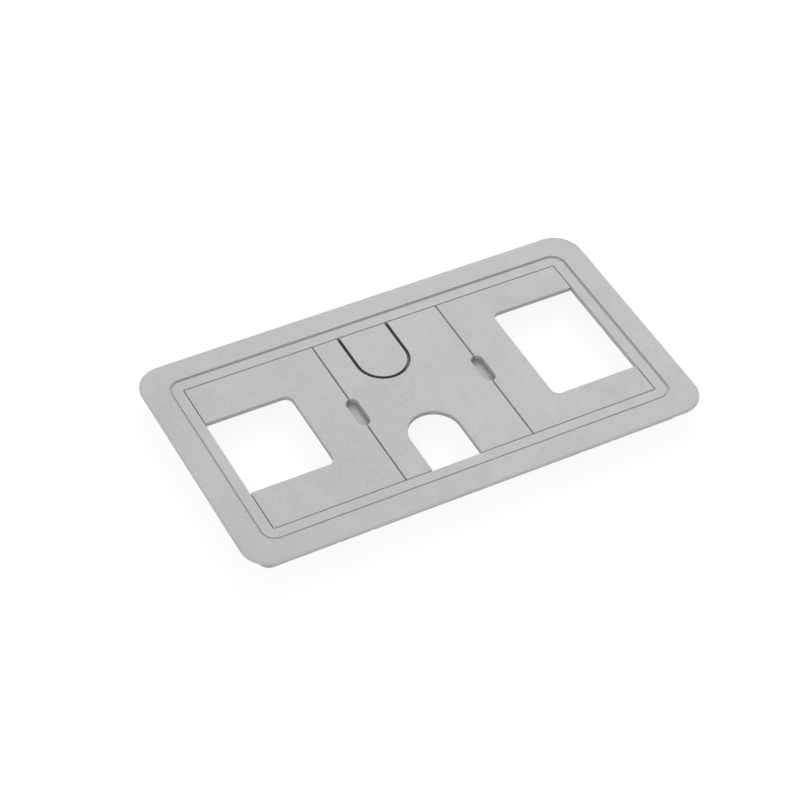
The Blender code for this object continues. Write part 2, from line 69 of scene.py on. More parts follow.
# Edges that turn more than this are drawn sharp
CREASE = math.radians(30)
# Above the first cosine two directions are alike, and below the second they are square to each other
ALIKE = 0.99
SQUARE = 0.1
# Ways that faces look
UP = (0.0, 0.0, 1.0)
DOWN = (0.0, 0.0, -1.0)
LEFT = (-1.0, 0.0, 0.0)
RIGHT = (1.0, 0.0, 0.0)
FORWARD = (0.0, -1.0, 0.0)

# How many flat steps a round is drawn with: more where it is large or seen from near
BREAKOUT_STEPS = 24
FRAME_CORNER_STEPS = 18
SLOT_STEPS = 12
NOTCH_STEPS = 10
LEDGE_STEPS = 8
FINE_STEPS = 4
EDGE_STEPS = 3
HIDDEN_STEPS = 2
PIN_MARK_SIDES = 32

# The floor lies this far under the collar's foot, so that no two faces share a plane
FLOOR_GAP = 0.05 * MM


def millimetres(name, description, value):
    """A length for the sidebar, given in millimetres."""
    return FloatProperty(
        name=name, description=description, default=value * MM, min=0.0, unit="LENGTH", precision=5
    )


def linear_colour(code):
    """An sRGB hex colour as linear red, green and blue."""
    channels = []
    for start in (0, 2, 4):
        value = int(code[start:start + 2], 16) / 255
        channels.append(value / 12.92 if value <= 0.04045 else ((value + 0.055) / 1.055) ** 2.4)
    return channels


def colour(name, description, code):
    """A colour for the sidebar, given as an sRGB hex value."""
    return FloatVectorProperty(
        name=name, description=description, default=linear_colour(code), min=0.0, max=1.0, subtype="COLOR"
    )


def share(name, description, value):
    """A share between 0 and 1 for the sidebar."""
    return FloatProperty(
        name=name, description=description, default=value, min=0.0, max=1.0, subtype="FACTOR"
    )


def lamp_power(name, description, value):
    """A lamp's power for the sidebar."""
    return FloatProperty(name=name, description=description, default=value, min=0.0, unit="POWER")


def spot(name, description, value):
    """A place for the sidebar, in metres."""
    return FloatVectorProperty(
        name=name, description=description, default=value, subtype="TRANSLATION", unit="LENGTH"
    )


class GrommetFrameSizes(PropertyGroup):
    """Sizes of the frame that is pressed into the cut-out."""

    length: millimetres("Length", "Length of the flange", (FRAME_BOX[1].x - FRAME_BOX[0].x) / MM)
    width: millimetres("Width", "Width of the flange", (FRAME_BOX[1].y - FRAME_BOX[0].y) / MM)
    top: millimetres("Top", "Height of the flange's highest edge", FRAME_BOX[1].z / MM)
    flange_underside: millimetres("Flange underside", "Height of the face that lies on the desk", 12.0)
    flange_edge_top: millimetres("Flange edge top", "Height at which the rim's slope meets its edge", 13.2)
    flange_corner: millimetres("Flange corner", "Corner radius of the flange", 13.5)
    flange_edge: millimetres("Flange edge", "Rounding of the flange's upper outer edge", 0.9)
    rim_width: millimetres("Rim width", "Width of the raised rim", 12.0)
    step_height: millimetres("Step height", "How far the band lies below the rim", 0.6)
    step_corner: millimetres("Step corner", "Corner radius of the step", 7.0)
    line_width: millimetres("Shadow line width", "Width of the fine groove at the step's foot", 1.0)
    line_depth: millimetres("Shadow line depth", "Depth of the fine groove at the step's foot", 0.6)
    band_width: millimetres("Band width", "Width of the lower band round the lids", 6.2)
    band_underside: millimetres("Band underside", "Height of the band's lower face", 10.1)
    opening_corner: millimetres("Opening corner", "Corner radius of the opening", 0.9)
    edge: millimetres("Edge", "Rounding of the step's and the opening's edges", 0.3)
    collar_inset: millimetres("Collar inset", "How far the collar stands in from the flange's edge", 8.0)
    collar_wall: millimetres("Collar wall", "Thickness of the collar", 2.2)
    collar_corner: millimetres("Collar corner", "Outer corner radius of the collar", 6.0)
    lead_in: millimetres("Lead-in", "How far the collar's foot tapers in", 0.7)
    lead_in_height: millimetres("Lead-in height", "Height of the taper at the collar's foot", 2.0)
    ledge_reach: millimetres("Ledge reach", "How far the ledges stand into the opening", 3.0)
    ledge_top: millimetres("Ledge top", "Height of the ledges that carry the lids", 10.3)
    ledge_thickness: millimetres("Ledge thickness", "Thickness of the ledges", 1.8)
    ledge_root: millimetres("Ledge root", "How far the ledges reach under the band", 2.2)
    notch_relief: millimetres("Notch relief", "Gap between a ledge's end and the notch beside it", 2.5)
    breakout_relief: millimetres("Break-out relief", "Gap between a ledge's end and the U beside it", 1.2)
    bar_top: millimetres("Bar top", "Height of the cross bars", 10.2)
    bar_width: millimetres("Bar width", "Width of the cross bars", 11.0)
    bar_thickness: millimetres("Bar thickness", "Thickness of a cross bar's head", 2.0)
    bar_web: millimetres("Bar web", "Thickness of the web under a cross bar", 2.2)
    bar_depth: millimetres("Bar depth", "Depth of a cross bar with its web", 8.0)
    fin_width: millimetres("Fin width", "Width of the spring fins", 15.0)
    fin_slot: millimetres("Fin slot", "Width of the slots beside a fin", 1.4)
    fin_slot_top: millimetres("Fin slot top", "Height of the slots beside a fin", 8.8)
    fin_margin: millimetres("Fin margin", "From the collar's end to the middle of a fin", 46.0)
    barb_reach: millimetres("Barb reach", "How far a fin's barb stands out", 1.6)
    barb_margin: millimetres("Barb margin", "How much narrower a barb is than its fin on each side", 0.8)
    barb_peak: millimetres("Barb peak", "Height of a barb's highest point", 7.0)
    barb_shoulder: millimetres("Barb shoulder", "Height of a barb's flat and of its upper slope", 1.4)


class GrommetLidSizes(PropertyGroup):
    """Sizes of the three lids."""

    top: millimetres("Top", "Height of the lids' upper faces", 13.0)
    thickness: millimetres("Thickness", "Thickness of the lids", 2.4)
    clearance: millimetres("Clearance", "Gap between the lids and the opening", 0.4)
    seam: millimetres("Seam", "Gap between two lids", 0.6)
    corner: millimetres("Corner", "Radius of the lids' outer corners", 0.5)
    edge: millimetres("Edge", "Rounding of the upper edges", 0.4)
    left_arm: millimetres("Left arm", "Width of the arms beside the left notch", 23.0)
    left_bridge: millimetres("Left bridge", "From the left notch to the seam", 22.7)
    right_arm: millimetres("Right arm", "Width of the arms beside the right notch", 16.8)
    right_bridge: millimetres("Right bridge", "From the right notch to the seam", 21.0)
    notch_corner: millimetres("Notch corner", "Corner radius of the notches", 3.8)
    breakout_width: millimetres("Break-out width", "Width of the U-shaped openings", 25.0)
    breakout_arm: millimetres("Break-out arm", "From the middle lid's left edge to the U shapes", 13.0)
    breakout_bridge: millimetres("Break-out bridge", "What is left between the two U shapes", 26.0)
    groove: millimetres("Groove", "Width of the groove round the closed break-out", 1.6)
    web: millimetres("Web", "Thickness of the plastic left under the groove", 0.6)
    slot_length: millimetres("Slot length", "Length of the slots over the cross bars", 17.0)
    slot_width: millimetres("Slot width", "Width of the slots over the cross bars", 5.8)
    pocket_margin: millimetres("Pocket margin", "How much larger the pocket under a slot is", 0.9)
    pocket_depth: millimetres("Pocket depth", "Depth of the pocket under a slot", 0.6)
    rib_thickness: millimetres("Rib thickness", "Thickness of the ribs under the lids", 1.5)
    rib_depth: millimetres("Rib depth", "Depth of the ribs under the lids", 2.6)
    low_rib_depth: millimetres("Low rib depth", "Depth of the ribs that run into other ribs", 2.2)
    rib_setback: millimetres("Rib setback", "From a cable opening's edge to the rib round it", 4.0)
    rib_clearance: millimetres("Rib clearance", "Gap between the ribs and the frame", 1.0)
    rib_spacing: millimetres("Rib spacing", "Distance between cross ribs", 18.0)
    hook_width: millimetres("Hook width", "Width of the clip hooks", 6.0)
    hook_thickness: millimetres("Hook thickness", "Thickness of the clip hooks", 1.3)
    hook_gap: millimetres("Hook gap", "Gap between a hook and its ledge", 0.3)
    hook_barb: millimetres("Hook barb", "How far a hook catches under its ledge", 0.8)
    hook_barb_height: millimetres("Hook barb height", "Height of a hook's barb", 1.6)
    side_hook_margin: millimetres("Side hook margin", "From an outer lid's end to a hook's middle", 14.2)
    centre_hook_margin: millimetres("Centre hook margin", "From the middle lid's end to a hook's middle", 9.3)
    pin_mark: millimetres("Pin mark", "Diameter of the ejector pins' marks under the lids", 4.0)
    pin_mark_depth: millimetres("Pin mark depth", "Depth of the ejector pins' marks", 0.1)
    side_mark_margin: millimetres("Side mark margin", "From the ends of a notch's arm to its marks", 8.0)
    centre_mark_margin: millimetres("Centre mark margin", "From the seam ribs to the middle lid's marks", 3.5)
    centre_mark_row: millimetres("Centre mark row", "From the middle rib to the middle lid's marks", 6.0)


class GrommetFinish(PropertyGroup):
    """Colours and texture of the plastic, and the painted shade in the break-out's groove."""

    frame_colour: colour("Frame", "Colour of the frame", "BFBFBF")
    lid_colour: colour("Lids", "Colour of the lids", "C0C0C0")
    # Painted shade, not the plastic's colour: a darker grey that stands in for the shade in the narrow, deep
    # groove, on its floor and walls
    groove_shade_colour: colour("Groove", "Colour of the break-out's groove, its floor and walls", "6E6E6E")
    frame_roughness: share("Frame roughness", "Roughness of the frame", 0.46)
    lid_roughness: share("Lid roughness", "Roughness of the lids", 0.5)
    groove_roughness: share("Groove roughness", "Roughness of the break-out's groove", 0.55)
    frame_grain: millimetres("Frame grain", "Width of the grains drawn on the frame", 1.3)
    lid_grain: millimetres("Lid grain", "Width of the grains drawn on the lids", 1.4)


class GrommetStudio(PropertyGroup):
    """Camera and light."""

    camera_place: spot("Camera", "Where the camera stands", (-0.42045, -0.65637, 0.81226))
    camera_turn: FloatVectorProperty(
        name="Camera turn",
        description="How the camera is turned about X, Y and Z",
        default=[math.radians(angle) for angle in (43.896, -3.330, -28.506)],
        subtype="EULER",
        unit="ROTATION",
    )
    lens: FloatProperty(name="Lens", description="Focal length in millimetres", default=110.5, min=1.0)
    key_power: lamp_power("Key light", "Power of the large softbox", 11.3)
    key_place: spot("Key light's place", "Where the large softbox stands", (0.75, 1.0, 1.35))
    key_size: millimetres("Key light's size", "Side of the large softbox", 1000.0)
    fill_power: lamp_power("Fill light", "Power of the softbox near the camera", 4.6)
    fill_place: spot("Fill light's place", "Where the small softbox stands", (-0.9, -0.7, 1.1))
    fill_size: millimetres("Fill light's size", "Side of the small softbox", 800.0)
    room_light: FloatProperty(
        name="Room light", description="Strength of the light from all round", default=0.5, min=0.0
    )
    floor_size: millimetres("Floor", "Side of the square floor", 4000.0)


# Modelling by hand: small steps that the pieces share


def deselect_all():
    if bpy.context.object and bpy.context.object.mode != "OBJECT":
        bpy.ops.object.mode_set(mode="OBJECT")
    bpy.ops.object.select_all(action="DESELECT")


def select_only(piece):
    deselect_all()
    piece.select_set(True)
    bpy.context.view_layer.objects.active = piece


def start_edit(piece):
    select_only(piece)
    bpy.ops.object.mode_set(mode="EDIT")


def end_edit():
    bpy.ops.object.mode_set(mode="OBJECT")


def pick(kind, test):
    """In edit mode, select the edges or faces that pass a test, and nothing else."""
    bpy.ops.mesh.select_mode(type=kind)
    bpy.ops.mesh.select_all(action="DESELECT")
    mesh = bmesh.from_edit_mesh(bpy.context.edit_object.data)
    mesh.normal_update()
    found = [item for item in (mesh.edges if kind == "EDGE" else mesh.faces) if test(item)]
    if not found:
        raise RuntimeError(f"nothing to select on {bpy.context.edit_object.name}")
    for item in found:
        item.select_set(True)
    bmesh.update_edit_mesh(bpy.context.edit_object.data)


def middle(edge):
    return (edge.verts[0].co + edge.verts[1].co) / 2


def span(edge):
    return edge.verts[1].co - edge.verts[0].co


def upright(edge):
    along = span(edge)
    return abs(along.z) > ALIKE * along.length


def lies_at(edge, axis, value):
    """Whether both ends of an edge have this value on an axis."""
    return all(abs(getattr(vertex.co, axis) - value) < SAME for vertex in edge.verts)


def block(name, low, high):
    """A cube stretched between two opposite corners."""
    deselect_all()
    bpy.ops.mesh.primitive_cube_add(size=1.0)
    piece = bpy.context.object
    piece.name = name
    low = Vector(low)
    high = Vector(high)
    start_edit(piece)
    bpy.ops.mesh.select_all(action="SELECT")
    bpy.ops.transform.resize(value=high - low, center_override=(0.0, 0.0, 0.0))
    bpy.ops.transform.translate(value=(high + low) / 2)
    end_edit()
    return piece


def round_edges(piece, radius, steps, test):
    """Bevel the edges that pass a test into a round of some radius."""
    start_edit(piece)
    pick("EDGE", test)
    bpy.ops.mesh.bevel(offset=radius, segments=steps, affect="EDGES")
    bpy.ops.mesh.select_all(action="SELECT")
    bpy.ops.mesh.remove_doubles(threshold=SAME)
    end_edit()
    return piece


def round_block(name, low, high, radius, steps, test=lambda x, y: True):
    """A block whose upright edges are rounded, where they pass a test of x and y if there is one."""
    piece = block(name, low, high)
    return round_edges(piece, radius, steps, lambda edge: upright(edge) and test(*middle(edge).xy))


def join_up(target, tool, operation):
    """Join a shape to a piece (UNION) or cut it out (DIFFERENCE), and delete the tool."""
    select_only(target)
    bpy.ops.object.modifier_add(type="BOOLEAN")
    boolean = target.modifiers[-1]
    boolean.object = tool
    boolean.operation = operation
    boolean.solver = "EXACT"
    bpy.ops.object.modifier_apply(modifier=boolean.name)
    bpy.data.objects.remove(tool, do_unlink=True)
    return target


def fuse(target, tool):
    return join_up(target, tool, "UNION")


def carve(target, tool):
    return join_up(target, tool, "DIFFERENCE")


def copy_of(piece, name, place, turn):
    """A copy with its own mesh, turned about Z and moved to its place."""
    select_only(piece)
    bpy.ops.object.duplicate()
    copied = bpy.context.object
    copied.name = name
    copied.rotation_euler.z = turn
    copied.location = place
    bpy.ops.object.transform_apply(location=True, rotation=True, scale=True)
    return copied


def extrude_faces(test, move):
    """In edit mode, extrude the faces that pass a test."""
    pick("FACE", test)
    bpy.ops.mesh.extrude_region_move(TRANSFORM_OT_translate={"value": move})


def cut_across(place, normal):
    """In edit mode, divide the whole mesh along a plane."""
    bpy.ops.mesh.select_all(action="SELECT")
    bpy.ops.mesh.bisect(plane_co=place, plane_no=normal)


def faces(normal, test):
    """A test for faces that look one way, and whose middle passes a test of its own."""
    normal = Vector(normal)
    return lambda face: face.normal.dot(normal) > ALIKE and test(face.calc_center_median())


def edges_between(ones, others):
    """A test for edges from a face that looks one of some ways to a face that looks one of others."""
    def looks(face, ways):
        return any(face.normal.dot(Vector(way)) > ALIKE for way in ways)

    def test(edge):
        if len(edge.link_faces) != 2:
            return False
        first, second = edge.link_faces
        forth = looks(first, ones) and looks(second, others)
        return forth or looks(first, others) and looks(second, ones)

    return test


def finish_piece(piece, name, materials, node):
    """Shade a piece, give it its plastic and let it stand for its solid."""
    select_only(piece)
    piece.name = name
    piece.data.name = name
    bpy.ops.object.shade_smooth_by_angle(angle=CREASE)
    bpy.ops.object.modifier_add(type="WEIGHTED_NORMAL")
    piece.modifiers[-1].keep_sharp = True
    bpy.ops.object.modifier_apply(modifier=piece.modifiers[-1].name)
    piece.data.materials.clear()
    for material in materials:
        piece.data.materials.append(material)
    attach(piece, "root")
    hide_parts(node)


# Places that the frame and the lids share


def opening_half(size):
    """Half of the opening's length and of its width."""
    inset = size.rim_width + size.band_width
    return size.length / 2 - inset, size.width / 2 - inset


def lid_length(size, lids):
    return (2 * opening_half(size)[0] - 2 * lids.clearance - 2 * lids.seam) / 3


def seam_x(size, lids):
    """How far the middle of each seam lies from the grommet's middle."""
    return (lid_length(size, lids) + lids.seam) / 2


def breakout_x(size, lids):
    """Where the left and the right edge of the U shapes lie."""
    left = lids.breakout_arm - lid_length(size, lids) / 2
    return left, left + lids.breakout_width


# Plastic

# Typical for ABS
ABS_IOR = 1.53
# How deep the drawn grain is, and how much more of the tone it makes than the melt's flow
GRAIN_DEPTH = 0.2 * MM
GRAIN_WEIGHT = 1.5
# Width of the flow's changes of tone, and of the patches that handling polishes
FLOW_WIDTH = 40 * MM
PATCH_WIDTH = 9 * MM
# Grain and flow together, over the first range, make the colour darker or paler by the second
TONE = {"From Min": 0.65, "From Max": 1.85, "To Min": 0.9, "To Max": 1.1}
# Handling, over this range, makes the roughness less or more by these amounts
HANDLED = {"From Min": 0.3, "From Max": 0.7}
PATCH_POLISH = 0.05
PATCH_DULLING = 0.06
# A face is on a rounded edge if the upright part of its normal is this, give or take the spread
ROUND_LEAN = 0.68
ROUND_SPREAD = 0.24
# Where such an edge is rubbed most, it is paler by this factor and its roughness less by this
RUBBED_PALER = 1.22
RUBBED_SMOOTHER = 0.22


def add_node(tree, kind, settings, links):
    """Add a node, set its properties and inputs, and link its inputs to other nodes' outputs."""
    node = tree.nodes.new(kind)
    for key, value in settings.items():
        if isinstance(key, int) or key in node.inputs:
            node.inputs[key].default_value = value
        else:
            setattr(node, key, value)
    for key, output in links.items():
        tree.links.new(output, node.inputs[key])
    return node


def moulded_abs(name, base, roughness, grain):
    """Injection-moulded ABS from a spark-eroded mould: an even, matt, slightly grainy light grey.

    The mould's texture is about 0.1 mm across, too fine to show here, so the grain is drawn
    coarser and deeper. The melt's flow leaves broad, faint changes of tone. Handling polishes the
    plastic a little in patches, and its rounded edges rub paler and smoother.
    """
    material = bpy.data.materials.new(name)
    material.use_nodes = True
    tree = material.node_tree
    shader = tree.nodes["Principled BSDF"]
    shader.inputs["IOR"].default_value = ABS_IOR
    place = add_node(tree, "ShaderNodeTexCoord", {}, {}).outputs["Object"]
    patterns = []
    for width, detail, rough in ((grain, 3.0, 0.6), (FLOW_WIDTH, 2.0, 0.5), (PATCH_WIDTH, 4.0, 0.55)):
        look = {"Scale": 1 / width, "Detail": detail, "Roughness": rough}
        patterns.append(add_node(tree, "ShaderNodeTexNoise", look, {"Vector": place}).outputs["Fac"])
    grains, flow, handling = patterns
    weighted = {"operation": "MULTIPLY_ADD", 1: GRAIN_WEIGHT}
    tone = add_node(tree, "ShaderNodeMath", weighted, {0: grains, 2: flow}).outputs[0]
    shade = add_node(tree, "ShaderNodeMapRange", TONE, {"Value": tone}).outputs["Result"]
    scaled = {"operation": "SCALE", 0: base}
    body = add_node(tree, "ShaderNodeVectorMath", scaled, {"Scale": shade}).outputs["Vector"]
    normal = add_node(tree, "ShaderNodeNewGeometry", {}, {}).outputs["Normal"]
    rise = add_node(tree, "ShaderNodeSeparateXYZ", {}, {"Vector": normal}).outputs["Z"]
    lean = add_node(tree, "ShaderNodeMath", {"operation": "ABSOLUTE"}, {0: rise}).outputs[0]
    near = {"operation": "COMPARE", 1: ROUND_LEAN, 2: ROUND_SPREAD}
    rounding = add_node(tree, "ShaderNodeMath", near, {0: lean}).outputs[0]
    product = {"operation": "MULTIPLY"}
    rubbed = add_node(tree, "ShaderNodeMath", product, {0: rounding, 1: handling}).outputs[0]
    worn_colour = (*[min(1.0, RUBBED_PALER * channel) for channel in base], 1.0)
    blend = {"data_type": "RGBA", 7: worn_colour}
    pale = add_node(tree, "ShaderNodeMix", blend, {0: rubbed, 6: body}).outputs[2]
    tree.links.new(pale, shader.inputs["Base Color"])
    patches = {**HANDLED, "To Min": roughness - PATCH_POLISH, "To Max": roughness + PATCH_DULLING}
    gloss = add_node(tree, "ShaderNodeMapRange", patches, {"Value": handling}).outputs["Result"]
    smoothed = {"operation": "MULTIPLY_ADD", 1: -RUBBED_SMOOTHER}
    worn = add_node(tree, "ShaderNodeMath", smoothed, {0: rubbed, 2: gloss}).outputs[0]
    tree.links.new(worn, shader.inputs["Roughness"])
    depth = {"Strength": 1.0, "Distance": GRAIN_DEPTH}
    relief = add_node(tree, "ShaderNodeBump", depth, {"Height": grains}).outputs["Normal"]
    tree.links.new(relief, shader.inputs["Normal"])
    return material


# Frame


def soften(keys, steps):
    """Round the corners of the closed section.

    Each key is (inset, height, corner radius, rounding). The rounding runs in inset and height,
    and the corner radius changes evenly along it.
    """
    rings = []
    for number, key in enumerate(keys):
        corner = Vector(key[:3])
        before = Vector(keys[number - 1][:3]) - corner
        after = Vector(keys[(number + 1) % len(keys)][:3]) - corner
        half = before.xy.angle(after.xy) / 2
        reach = key[3] / math.tan(half)
        start = corner + before * (reach / before.xy.length)
        end = corner + after * (reach / after.xy.length)
        weight = math.sin(half)
        for step in range(steps + 1):
            t = step / steps
            shares = ((1 - t) ** 2, 2 * weight * t * (1 - t), t ** 2)
            rings.append((start * shares[0] + corner * shares[1] + end * shares[2]) / sum(shares))
    return rings


def frame_section(size):
    """The frame's section, from the flange's lower edge over the rim to the collar."""
    foot_line = size.top - size.step_height - size.line_depth
    band_top = size.top - size.step_height
    opening = size.rim_width + size.band_width
    line_inner = size.rim_width + size.line_width
    line_corner = size.step_corner - size.line_width
    wall_inner = size.collar_inset + size.collar_wall
    wall_corner = size.collar_corner - size.collar_wall
    foot_outer = size.collar_inset + size.lead_in
    small = size.edge
    fine = size.edge / 2
    return [
        (0.0, size.flange_underside, size.flange_corner, small),
        (0.0, size.flange_edge_top, size.flange_corner, size.flange_edge),
        (size.rim_width, size.top, size.step_corner, small),
        (size.rim_width, foot_line, size.step_corner, fine),
        (line_inner, foot_line, line_corner, fine),
        (line_inner, band_top, line_corner, fine),
        (opening, band_top, size.opening_corner, small),
        (opening, size.band_underside, size.opening_corner, small),
        (wall_inner, size.band_underside, wall_corner, small),
        (wall_inner, 0.0, wall_corner, small),
        (foot_outer, 0.0, size.collar_corner - size.lead_in, small),
        (size.collar_inset, size.lead_in_height, size.collar_corner, small),
        (size.collar_inset, size.flange_underside, size.collar_corner, small),
    ]


def pick_ring(shell, ring):
    shell.vertex_groups.active_index = ring
    bpy.ops.object.vertex_group_select()


def frame_shell(size):
    """Rounded rectangles, one for each inset, height and corner radius of the section, bridged in turn.

    They are made one above the other and take their own heights once they are bridged, because
    two loops in one plane can be bridged with a twist.
    """
    rings = soften(frame_section(size), FINE_STEPS)
    deselect_all()
    bpy.ops.mesh.primitive_plane_add(size=1.0)
    shell = bpy.context.object
    start_edit(shell)
    bpy.ops.mesh.select_all(action="SELECT")
    bpy.ops.mesh.delete(type="VERT")
    for number, ring in enumerate(rings):
        bpy.ops.mesh.primitive_plane_add(size=1.0)
        outline = (size.length - 2 * ring.x, size.width - 2 * ring.x, 1.0)
        bpy.ops.transform.resize(value=outline, center_override=(0.0, 0.0, 0.0))
        bpy.ops.transform.translate(value=(0.0, 0.0, number * MM))
        bpy.ops.mesh.bevel(offset=ring.z, segments=FRAME_CORNER_STEPS, affect="VERTICES")
        bpy.ops.object.vertex_group_assign_new()
        bpy.ops.mesh.delete(type="ONLY_FACE")
    for number in range(len(rings)):
        bpy.ops.mesh.select_all(action="DESELECT")
        pick_ring(shell, number)
        pick_ring(shell, (number + 1) % len(rings))
        bpy.ops.mesh.bridge_edge_loops()
    for number, ring in enumerate(rings):
        bpy.ops.mesh.select_all(action="DESELECT")
        pick_ring(shell, number)
        bpy.ops.transform.translate(value=(0.0, 0.0, ring.y - number * MM))
    bpy.ops.mesh.select_all(action="SELECT")
    bpy.ops.mesh.normals_make_consistent(inside=False)
    end_edit()
    bpy.ops.object.vertex_group_remove(all=True)
    return shell


def corner_ledge(size, lids, side_x, side_y, arm):
    """One L of ledge in a corner of the opening, from the notch round to the middle U."""
    half_x, half_y = opening_half(size)
    under = size.ledge_top - size.ledge_thickness
    inner_x = half_x - size.ledge_reach
    inner_y = half_y - size.ledge_reach
    near_x = max(side_x * edge for edge in breakout_x(size, lids)) + size.breakout_relief
    near_y = half_y - arm + size.notch_relief
    outer_x = half_x + size.ledge_root
    outer_y = half_y + size.ledge_root
    xs = sorted((side_x * near_x, side_x * outer_x))
    ys = sorted((side_y * inner_y, side_y * outer_y))
    ledge = block("ledge", (xs[0], ys[0], under), (xs[1], ys[1], size.ledge_top))
    start_edit(ledge)
    cut_across((side_x * inner_x, 0.0, 0.0), RIGHT)
    in_corner = faces((0.0, -side_y, 0.0), lambda centre: side_x * centre.x > inner_x)
    extrude_faces(in_corner, (0.0, side_y * (near_y - inner_y), 0.0))
    end_edit()

    def outer(edge):
        place = middle(edge)
        return upright(edge) and side_x * place.x > inner_x and side_y * place.y > half_y

    round_edges(ledge, size.ledge_root + size.opening_corner, LEDGE_STEPS, outer)
    inward = ((-side_x, 0.0, 0.0), (0.0, -side_y, 0.0))
    return round_edges(ledge, size.edge, EDGE_STEPS, edges_between((UP, DOWN), inward))


def cross_bar(size, x):
    """A bar with a T section from the front wall of the collar to the back wall."""
    reach = size.width / 2 - size.collar_inset - size.collar_wall + REACH
    under = size.bar_top - size.bar_thickness
    half = size.bar_width / 2
    bar = block("cross_bar", (x - half, -reach, under), (x + half, reach, size.bar_top))
    start_edit(bar)
    for side in (-1, 1):
        cut_across((x + side * size.bar_web / 2, 0.0, 0.0), RIGHT)
    web = faces(DOWN, lambda centre: abs(centre.x - x) < size.bar_web / 2)
    extrude_faces(web, (0.0, 0.0, size.bar_thickness - size.bar_depth))
    end_edit()
    return round_edges(bar, size.edge, EDGE_STEPS, edges_between((LEFT, RIGHT), (UP, DOWN)))


def slot_tool(name, length, width, place, low, high):
    """An upright tool with straight sides and round ends, long along Y, at this place along X."""
    near = (place - width / 2, -length / 2, low)
    far = (place + width / 2, length / 2, high)
    return round_block(name, near, far, width / 2, SLOT_STEPS)


def fin_slot(size, side):
    """The slot beside a fin, open at the collar's foot, with soft upper corners."""
    near = size.fin_width / 2
    xs = sorted((side * near, side * (near + size.fin_slot)))
    wall = size.collar_wall
    tool = block("fin_slot", (xs[0], -wall, -REACH), (xs[1], 2 * wall, size.fin_slot_top))
    return round_edges(tool, size.edge, FINE_STEPS, edges_between([UP], (LEFT, RIGHT)))


def fin_barb(size):
    """The ramp on a fin's outside, thin at the foot and proud near the top."""
    half = size.fin_width / 2 - size.barb_margin
    top = size.barb_peak + size.barb_shoulder
    barb = block("fin_barb", (-half, 0.0, size.lead_in_height), (half, REACH, top))
    start_edit(barb)
    cut_across((0.0, 0.0, size.barb_peak), UP)
    cut_across((0.0, 0.0, size.barb_peak - size.barb_shoulder), UP)
    flat_middle = size.barb_peak - size.barb_shoulder / 2
    pick("FACE", faces(FORWARD, lambda centre: abs(centre.z - flat_middle) < size.barb_shoulder / 2))
    bpy.ops.transform.translate(value=(0.0, -size.barb_reach, 0.0))
    end_edit()
    return round_edges(barb, size.edge / 2, EDGE_STEPS, lambda edge: lies_at(edge, "y", -size.barb_reach))


def add_fins(shell, size):
    """Spring fins: one in each end of the collar and two in each long side."""
    end_x = size.length / 2 - size.collar_inset
    side_y = size.width / 2 - size.collar_inset
    fin_x = end_x - size.fin_margin
    places = [
        (end_x, 0.0, math.pi / 2),
        (-end_x, 0.0, -math.pi / 2),
        (-fin_x, -side_y, 0.0),
        (fin_x, -side_y, 0.0),
        (-fin_x, side_y, math.pi),
        (fin_x, side_y, math.pi),
    ]
    barb = fin_barb(size)
    slots = [fin_slot(size, side) for side in (-1, 1)]
    for x, y, turn in places:
        fuse(shell, copy_of(barb, "fin_barb_copy", (x, y, 0.0), turn))
        for slot in slots:
            carve(shell, copy_of(slot, "fin_slot_copy", (x, y, 0.0), turn))
    for tool in (barb, *slots):
        bpy.data.objects.remove(tool, do_unlink=True)


class MESH_OT_grommet_frame(Operator):
    """Model the frame: flange, stepped rim, collar with spring fins, ledges and cross bars"""

    bl_idname = "mesh.grommet_frame"
    bl_label = "Frame"
    bl_options = {"REGISTER", "UNDO"}

    def execute(self, context):
        size = context.scene.grommet_frame
        lids = context.scene.grommet_lids
        shell = frame_shell(size)
        for side_y in (-1, 1):
            fuse(shell, corner_ledge(size, lids, -1, side_y, lids.left_arm))
            fuse(shell, corner_ledge(size, lids, 1, side_y, lids.right_arm))
        for side in (-1, 1):
            x = side * seam_x(size, lids)
            fuse(shell, cross_bar(size, x))
            length = lids.slot_length + 2 * lids.pocket_margin
            width = lids.slot_width + 2 * lids.pocket_margin
            floor = size.bar_top - lids.pocket_depth
            carve(shell, slot_tool("pry_pocket", length, width, x, floor, size.bar_top + REACH))
        add_fins(shell, size)
        finish = context.scene.grommet_finish
        plastic = moulded_abs(
            "moulded ABS, frame", finish.frame_colour, finish.frame_roughness, finish.frame_grain
        )
        finish_piece(shell, "grommet_frame", [plastic], "frame")
        return {"FINISHED"}


# Lids


def lid_plate(name, size, lids, x_low, x_high):
    """The lid's flat plate with its small outer corners."""
    half_y = opening_half(size)[1] - lids.clearance
    low = (x_low, -half_y, lids.top - lids.thickness)
    high = (x_high, half_y, lids.top)
    return round_block(name, low, high, lids.corner, FINE_STEPS)


def round_rims(piece, lids):
    """Round the edges all round the lid's upper face, and less so those of its underside."""
    def rim(height, sign):
        def test(edge):
            if not lies_at(edge, "z", height) or len(edge.link_faces) != 2:
                return False
            leans = sorted(sign * face.normal.z for face in edge.link_faces)
            return leans[0] < SQUARE and leans[1] > ALIKE

        return test

    round_edges(piece, lids.edge, FINE_STEPS, rim(lids.top, 1))
    round_edges(piece, lids.edge / 2, HIDDEN_STEPS, rim(lids.top - lids.thickness, -1))


def breakout_tool(name, size, lids, side_y, grown, low, high):
    """A U-shaped tool, grown by some distance, round at the lid's middle and long past its edge.

    The less it has grown the longer it is, so that it cuts right through the end of a larger one.
    """
    left, right = breakout_x(size, lids)
    crown = lids.breakout_bridge / 2 - grown
    end = size.width / 2 - grown
    ys = sorted((side_y * crown, side_y * end))
    return round_block(
        name,
        (left - grown, ys[0], low),
        (right + grown, ys[1], high),
        lids.breakout_width / 2 + grown,
        BREAKOUT_STEPS,
        lambda x, y: abs(y) < (crown + end) / 2,
    )


